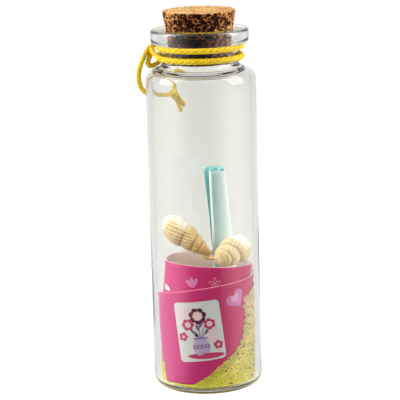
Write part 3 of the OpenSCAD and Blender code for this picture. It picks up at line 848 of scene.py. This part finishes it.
def sand_bed():
    """One skin of rings: floor, glass, the brim and outer side of the card, the roll's inside, and the top."""
    low, rows = BED_Z + 0.02, 20
    touch = np.full(SIDES, low)
    for z in np.arange(low, CARD_TOP, 0.1):
        touch = np.where((gap(column(z), z) > 0.5) & (touch >= z - 0.11), z, touch)
    out_z = in_z = np.full(SIDES, SAND_MID)
    for _ in range(8):
        out_z = heap(outer_wall(out_z), column(out_z))
        in_z = heap(inner_wall(column(in_z), in_z), column(in_z))
    wall_z = np.maximum(low, np.minimum(touch, heap(SAND_R, column(touch))))
    out_z = np.maximum(low, np.minimum(touch, out_z))
    rim_r = SAND_R - 0.22
    hip = CAVITY_HEEL_R * (1 - math.cos(math.radians(45)))
    rings = [(0.3, BASE_T - 0.02), (CAVITY_R - CAVITY_HEEL_R, BASE_T - 0.02),
             (CAVITY_R - hip + 0.01, BASE_T + hip - 0.01), (CAVITY_R + 0.01, BASE_T + CAVITY_HEEL_R),
             (rim_r, BASE_T + 0.9), (rim_r, wall_z)]
    up = [k / rows for k in range(rows + 1)]
    rings += [(np.minimum(outer_wall(z), rim_r), z) for z in (BED_Z + (out_z - BED_Z) * k for k in up[::-1])]
    rings += [(inner_wall(column(z), z), z) for z in (BED_Z + (in_z - BED_Z) * k for k in up)]
    p = [polar(r + np.zeros(SIDES), column(z), z) for r, z in rings]
    a, top_r = column(in_z), inner_wall(column(in_z), in_z)
    for part in (0.97, 0.9, 0.8, 0.68, 0.56, 0.44, 0.32, 0.2, 0.1, 0.03):
        flat = polar(top_r * part, a, 0 * a)
        p.append(polar(top_r * part, a, heap(top_r * part, a) + 0.25 * wave_at(flat, 41, 5) - 0.3))
    p = np.stack(p, axis=1)
    m = p.shape[1]
    # Painted light: the sand's underside, seen through the glass base, glows faintly as if lit from below
    underside_glow = material("sand_underside_glow", srgb(200, 182, 84), 0.9,
                     Emission_Color=(*srgb(206, 188, 92), 1), Emission_Strength=0.14)
    slots = [int(j < 2) for j in list(range(m - 1)) * SIDES] + [1, 0]
    base = mesh_object("sand_body", p, turned_faces(SIDES, m), [bed_material(), underside_glow], slots,
                       height=np.clip(p[:, :, 2] / 26 + 0.25 * p[:, :, 0] / SAND_R, 0, 1))
    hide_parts("sand")
    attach(base, "bottle")


def grain_spots():
    """Where grains lie: against the glass and on the brim beside the card, and on the heap inside the roll."""
    tries, on_glass, on_heap = 90000, 15500, 5200
    a = RNG.uniform(0, 360, tries)
    z = RNG.uniform(SAND_Z0 + 0.2, 29.5, tries)
    space = gap(a, z)
    r = SAND_R - RNG.uniform(0.14, 0.3, tries)
    arc_x = 13 * np.radians(a)
    least = np.interp(z, REACH_Z, REACH_GAP) + 0.03 * wave(arc_x, z, 0 * z, 51, 1.6) + RNG.normal(0, 0.015, tries)
    below_top = z < heap(r, a) + 0.35 * wave(arc_x, z, 0 * z, 52, 3)
    keep = ((space > least) & below_top & (z > BED_Z)) | (z < BED_Z)
    # On the brim beside the card all tries count, so that grains lie close there; elsewhere the first ones do
    brim = keep & (space < 0.56) & (z > BED_Z)
    keep = brim | keep & (np.arange(tries) < 26000)
    heel_z = SAND_Z0 + CAVITY_HEEL_R
    heel_r = SAND_R - 0.8 + np.sqrt(np.maximum(0, 0.64 - (np.maximum(0, heel_z - z)) ** 2)) - 0.15
    outer = polar(np.where(z < heel_z, heel_r, r), a, z)[keep][:on_glass]
    r = 12.3 * np.sqrt(RNG.uniform(0.0, 1, on_heap))
    a = RNG.uniform(0, 360, on_heap)
    z = heap(r, a)
    flat = polar(r, a, 0 * a)
    off_scroll = np.hypot(flat[:, 0] - 6.2, flat[:, 1] - 4.5) > 4.1
    inner = polar(r, a, z + 0.25 * wave_at(flat, 41, 5) - 0.25)[(r < inner_wall(a, z) - 0.15) & off_scroll]
    return np.concatenate([outer, inner])


def random_turns(n):
    """Rotation matrices of n random quaternions."""
    q = RNG.normal(size=(n, 4))
    q /= np.linalg.norm(q, axis=1, keepdims=True)
    w, x, y, z = q.T
    rows = ((1 - 2 * (y * y + z * z), 2 * (x * y - w * z), 2 * (x * z + w * y)),
            (2 * (x * y + w * z), 1 - 2 * (x * x + z * z), 2 * (y * z - w * x)),
            (2 * (x * z - w * y), 2 * (y * z + w * x), 1 - 2 * (x * x + y * y)))
    return np.stack([np.stack(row, axis=1) for row in rows], axis=1)


def sand_grains():
    """Loose grains, each an uneven octahedron, kept off the glass."""
    spots = grain_spots()
    n = len(spots)
    # Greener low down and at the left, paler high up and at the right
    hue = (spots[:, 2] - 8) / 16 + 0.25 * spots[:, 0] / 13 + RNG.normal(0, 0.35, n)
    green, yellow, cream, fleck, dark = range(5)
    kind = np.where(hue < 0, green, np.where(hue < 0.7, yellow, cream))
    kind = np.where(RNG.uniform(0, 1, n) < 0.09, dark, kind)
    kind = np.where((RNG.uniform(0, 1, n) < 0.008) & (spots[:, 0] > 4), fleck, kind)
    size = (RNG.uniform(0.13, 0.26, n) * np.where(kind == fleck, 3, 1))[:, None, None]
    turns = random_turns(n)
    octahedron = np.array([[1, 0, 0], [-1, 0, 0], [0, 1, 0], [0, -1, 0], [0, 0, 1], [0, 0, -1]], dtype=float)
    shape = octahedron[None] * RNG.uniform(0.7, 1.1, (n, 6, 1))
    p = np.einsum("nij,nkj->nki", turns, shape) * size + spots[:, None]
    limit = SAND_R - 0.01
    p[:, :, :2] /= (np.maximum(np.hypot(p[:, :, 0], p[:, :, 1]), limit) / limit)[:, :, None]
    p[:, :, 2] = np.maximum(p[:, :, 2], SAND_Z0)
    tri = np.array([[0, 2, 4], [2, 1, 4], [1, 3, 4], [3, 0, 4], [2, 0, 5], [1, 2, 5], [3, 1, 5], [0, 3, 5]])
    faces = (tri[None] + 6 * np.arange(n)[:, None, None]).reshape(-1, 3)
    o = mesh_object("sand_grains", p, faces, sand_materials(), np.repeat(kind, 8), smooth=False)
    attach(o, "bottle")


# Cord

HITCH = [[-9.3, -6.6, 91.6], [-11, -4.7, 91.9], [-12.1, -3.1, 92.6], [-12.8, -1.7, 93.5], [-12.9, -0.5, 93.9],
         [-13, 0.4, 93.3], [-13.4, 0.8, 92.1], [-13.9, 0.7, 90.8], [-14.1, 0.5, 89.8], [-13.7, 0.7, 89.1],
         [-12.9, 1.9, 89], [-12.1, 3.4, 89.2], [-11.3, 4.9, 89.4]]
LOOP = [[-9.7, 8.2, 94.2], [-11.6, 5.3, 94.3], [-13, 2.2, 94.2], [-14.1, 0.8, 93.4], [-15, 0.2, 91.9],
        [-15.8, 0.1, 90.2], [-16.5, 0.4, 88.2], [-16.8, 1, 86], [-16.6, 2, 84], [-16, 3.6, 82.2],
        [-14.9, 6, 80.8], [-13.2, 9, 79.9], [-11.3, 11.7, 79.4], [-9.5, 13.9, 79.4],
        [-8.4, 15.1, 80.2], [-8.2, 15, 82.2], [-8.5, 14.3, 84.6], [-9.1, 13, 86.8], [-9.9, 11.1, 88.4],
        [-10.6, 8.9, 89.6], [-11, 7.2, 90.6], [-11.1, 6.1, 91.6]]
KNOT_AT, KNOT_DIR = np.array([-8.4, 14.7, 79.1]), np.array([0.6, 0.12, -1])


def cord_material():
    m = material("waxed_cord", srgb(240, 205, 30), 0.45)
    # The cord's yellow dye, with painted shade darkening the low places between strands
    dye_and_crevice_shade = ramp(m, attribute(m, "strand"),
               [(0.0, srgb(168, 106, 4)), (0.45, srgb(226, 182, 14)), (1.0, srgb(252, 226, 56))])
    tone = ramp(m, noise(m, 500, 3, 0.6), [(0.3, srgb(222, 205, 150)), (0.65, (1, 1, 1))])
    paint(m, mix(m, 0.7, dye_and_crevice_shade, tone, "MULTIPLY"))
    bump(m, noise(m, 4500, 3, 0.6), 0.25, 0.0002)
    return m


def braid(line, closed=False, radius=0.95 * CORD_R, taper=None):
    """Points, faces and strand heights of a braided cord along a line. A closed line lies level."""
    p = np.asarray(line)
    n, sides, pitch = len(p), 20, 3.6
    t = (np.roll(p, -1, axis=0) - np.roll(p, 1, axis=0)) if closed else np.gradient(p, axis=0)
    t /= np.linalg.norm(t, axis=1, keepdims=True)
    step = np.linalg.norm(np.diff(p, axis=0, append=p[:1] if closed else p[-1:]), axis=1)
    s = np.concatenate([[0], np.cumsum(step)[:-1]])
    total = step.sum()
    if closed:
        pitch = total / round(total / pitch)
        side = np.tile([0.0, 0.0, 1.0], (n, 1))
        side -= (side * t).sum(axis=1, keepdims=True) * t
        side /= np.linalg.norm(side, axis=1, keepdims=True)
    else:
        side = np.zeros((n, 3))
        v = np.cross(t[0], [0.1, 0.2, 1])
        for i in range(n):
            v = v - (v @ t[i]) * t[i]
            v /= np.linalg.norm(v)
            side[i] = v
    other = np.cross(t, side)
    phi = np.linspace(0, 2 * math.pi, sides, endpoint=False)[None, :]
    # Two sets of strands that wind in opposite ways, one a little lower than the other
    wind = 2 * math.pi * s[:, None] / pitch
    over = np.maximum(np.abs(np.cos(2 * phi + wind)) ** 0.8, np.abs(np.cos(2 * phi - wind)) ** 0.8 * 0.8)
    r = radius * (0.72 + 0.28 * over)
    if taper is not None:
        r = r * taper(s / total)[:, None]
    out = np.cos(phi)[:, :, None] * side[:, None] + np.sin(phi)[:, :, None] * other[:, None]
    q = p[:, None] + r[:, :, None] * out
    faces = grid_faces(n, sides, closed, True)[:, ::-1].tolist()
    if not closed:
        faces += [list(range(sides)), list(range((n - 1) * sides, n * sides))[::-1]]
    return q.reshape(-1, 3), faces, over.ravel()


def neck_turn(z):
    a = np.linspace(0, 360, 520, endpoint=False)
    return polar(TURN_R + 0.08 + 0 * a, a, z - 0.08)


def knot_parts():
    """Wraps round the loop's foot, and two short ends that hang from them."""
    turn = stand(KNOT_DIR / np.linalg.norm(KNOT_DIR))
    k = np.linspace(0, 1, 150)
    wraps = polar(0.82 + 0 * k, 360 * 2.6 * k, -1.05 + 2.1 * k)
    parts = [braid(wraps @ turn.T + KNOT_AT, radius=0.7)]
    k = np.linspace(0, 1, 60)
    for s in (-1, 1):
        end = np.stack([s * (0.3 + 0.5 * k ** 0.7 + 0.15 * k * k), 0.12 * np.sin(3 * k + s),
                        0.4 + (4.6 + 0.4 * s) * k], axis=1)
        parts.append(braid(end @ turn.T + KNOT_AT, radius=0.7, taper=lambda x: 1 - 0.12 * ease((x - 0.9) / 0.1)))
    return parts


def cords():
    wax, line, pieces = cord_material(), smooth_line(LOOP, 14), {}
    for name, (points, faces, strand) in (
            ("cord_turns", join([braid(neck_turn(z), closed=True, radius=0.84) for z in (TURN_HI, TURN_LO)])),
            ("cord_hitch", braid(smooth_line(HITCH, 14))),
            ("cord_loop", braid(line)),
            ("cord_knot", join(knot_parts()))):
        o = pieces[name] = mesh_object(name + "_braid", points, faces, wax, strand=strand)
        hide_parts(name)
        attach(o, "bottle")


# Table, light and camera

AMBIENT = 0.62
# Brightness of the room around the bottle, from its front (0) to its back (1)
ROOM = [(0.0, 0.1), (0.14, 0.13), (0.24, 0.55), (0.36, 0.98), (0.5, 0.92), (0.72, 0.72), (0.9, 0.85), (1.0, 1.0)]
# Name, place in metres, width, height and power
LAMPS = (("key", (-0.49, -0.1, 0.38), 0.4, 0.6, 4.1), ("fill", (0.49, -0.07, 0.32), 0.36, 0.6, 3.0))


def seen(m):
    """1 for rays that show a surface to the camera, straight, mirrored or through glass, and 0 for its light."""
    path = node(m, "LightPath")
    shown = combine(m, "MAXIMUM", path.outputs["Is Camera Ray"], path.outputs["Is Transmission Ray"])
    shown = combine(m, "MAXIMUM", shown, path.outputs["Is Glossy Ray"])
    return combine(m, "MULTIPLY", shown, combine(m, "LESS_THAN", path.outputs["Diffuse Depth"], 0.5))


def place(m, coordinates):
    """X, Y and Z of a point of the room."""
    at = node(m, "SeparateXYZ")
    link(m, node(m, "TexCoord").outputs[coordinates], at.inputs[0])
    return at.outputs


def room(m, coordinates):
    """Brightness of the room around the bottle: low at the front, from where the bottle is looked at."""
    at = place(m, coordinates)
    angle = combine(m, "ARCTAN2", at["X"], scaled(m, at["Y"], -1))
    part = scaled(m, combine(m, "ABSOLUTE", angle), 1 / math.pi)
    return ramp(m, part, [(x, (v, v, v)) for x, v in ROOM])


def backdrop(m, coordinates):
    """Brightness of what the camera sees: full, or the room's where it is seen in a mirroring surface."""
    ceiling = ramp(m, place(m, coordinates)["Z"], [(0.35, (0, 0, 0)), (0.6, (0.9, 0.9, 0.9))])
    walls = combine(m, "MAXIMUM", room(m, coordinates), ceiling)
    mirrored = node(m, "LightPath").outputs["Glossy Depth"]
    return combine(m, "MAXIMUM", walls, combine(m, "LESS_THAN", mirrored, 0.5))


def table():
    """A white table that looks as bright as the backdrop and lights the bottle as a white table does."""
    white = (0.78, 0.78, 0.78)
    cloth = material("table_white", white, 0.9, Emission_Color=(1, 1, 1, 1))
    direct, bright = seen(cloth), backdrop(cloth, "Object")
    paint(cloth, mix(cloth, direct, white, scaled(cloth, bright, 0.24)))
    glow = combine(cloth, "MULTIPLY", direct, scaled(cloth, bright, 0.84))
    link(cloth, glow, bsdf(cloth).inputs["Emission Strength"])
    corners = [(x, y, -0.02) for x, y in ((-900, -900), (900, -900), (900, 1500), (-900, 1500))]
    floor = mesh_object("table", corners, [[0, 1, 2, 3]], cloth)


def sky():
    world = bpy.data.worlds.new("world")
    bpy.context.scene.world = world
    world.use_nodes = True
    back = world.node_tree.nodes["Background"]
    back.inputs["Color"].default_value = (1, 1, 1, 1)
    light = scaled(world, room(world, "Generated"), AMBIENT)
    link(world, mix(world, seen(world), light, backdrop(world, "Generated")), back.inputs["Strength"])


def lamps():
    middle = Vector((0, 0, 0.05))
    for name, at, width, height, power in LAMPS:
        lamp = bpy.data.lights.new(name, "AREA")
        lamp.shape = "RECTANGLE"
        lamp.size, lamp.size_y = width, height
        lamp.energy = power
        o = new_object(name, lamp)
        o.location = at
        o.visible_transmission = False
        o.rotation_euler = (middle - Vector(at)).to_track_quat("-Z", "Y").to_euler()


def camera():
    """The photograph's camera: 0.5 m in front of the bottle, looking down on it and a little askew."""
    yaw, pitch, roll = (math.radians(x) for x in (-0.12, 12.23, -1.54))
    cam = bpy.data.cameras.new("camera")
    cam.lens, cam.sensor_width, cam.clip_start = 167.5, 36, 0.01
    o = new_object("camera", cam)
    o.matrix_world = (Matrix.Translation((0, -0.5, 0.16)) @ Matrix.Rotation(-yaw, 4, "Z")
                      @ Matrix.Rotation(math.pi / 2 - pitch, 4, "X") @ Matrix.Rotation(roll, 4, "Z"))
    bpy.context.scene.camera = o


glass()
cork()
card()
panel_print()
loose_print()
scroll()
scroll_ring()
shell("shell_left_spiral", "shell_left", apex=(0.101, 0.075, -0.015), way=(-13.25, 3.6, 10.1),
      size=1.22 * CAVITY_R, radius=0.28 * CAVITY_R, blunt=0.55, turn=90, ribs=22, depth=0.18,
      first=0.428, grow=1.62, pale=0.42, glaze_and_highlight=(0.5, 0.25))
shell("shell_right_spiral", "shell_right", apex=(0.261, -0.746, 0.075), way=(7.3, 10.4, 2),
      size=0.96 * CAVITY_R, radius=0.3 * CAVITY_R, blunt=0.3, turn=20, ribs=24, depth=0.26,
      first=0.56, grow=2.3, pale=0.58, glaze_and_highlight=(0.5, 0.1))
sand_bed()
sand_grains()
cords()
table()
sky()
lamps()
camera()
bpy.context.scene.view_settings.view_transform = "Standard"
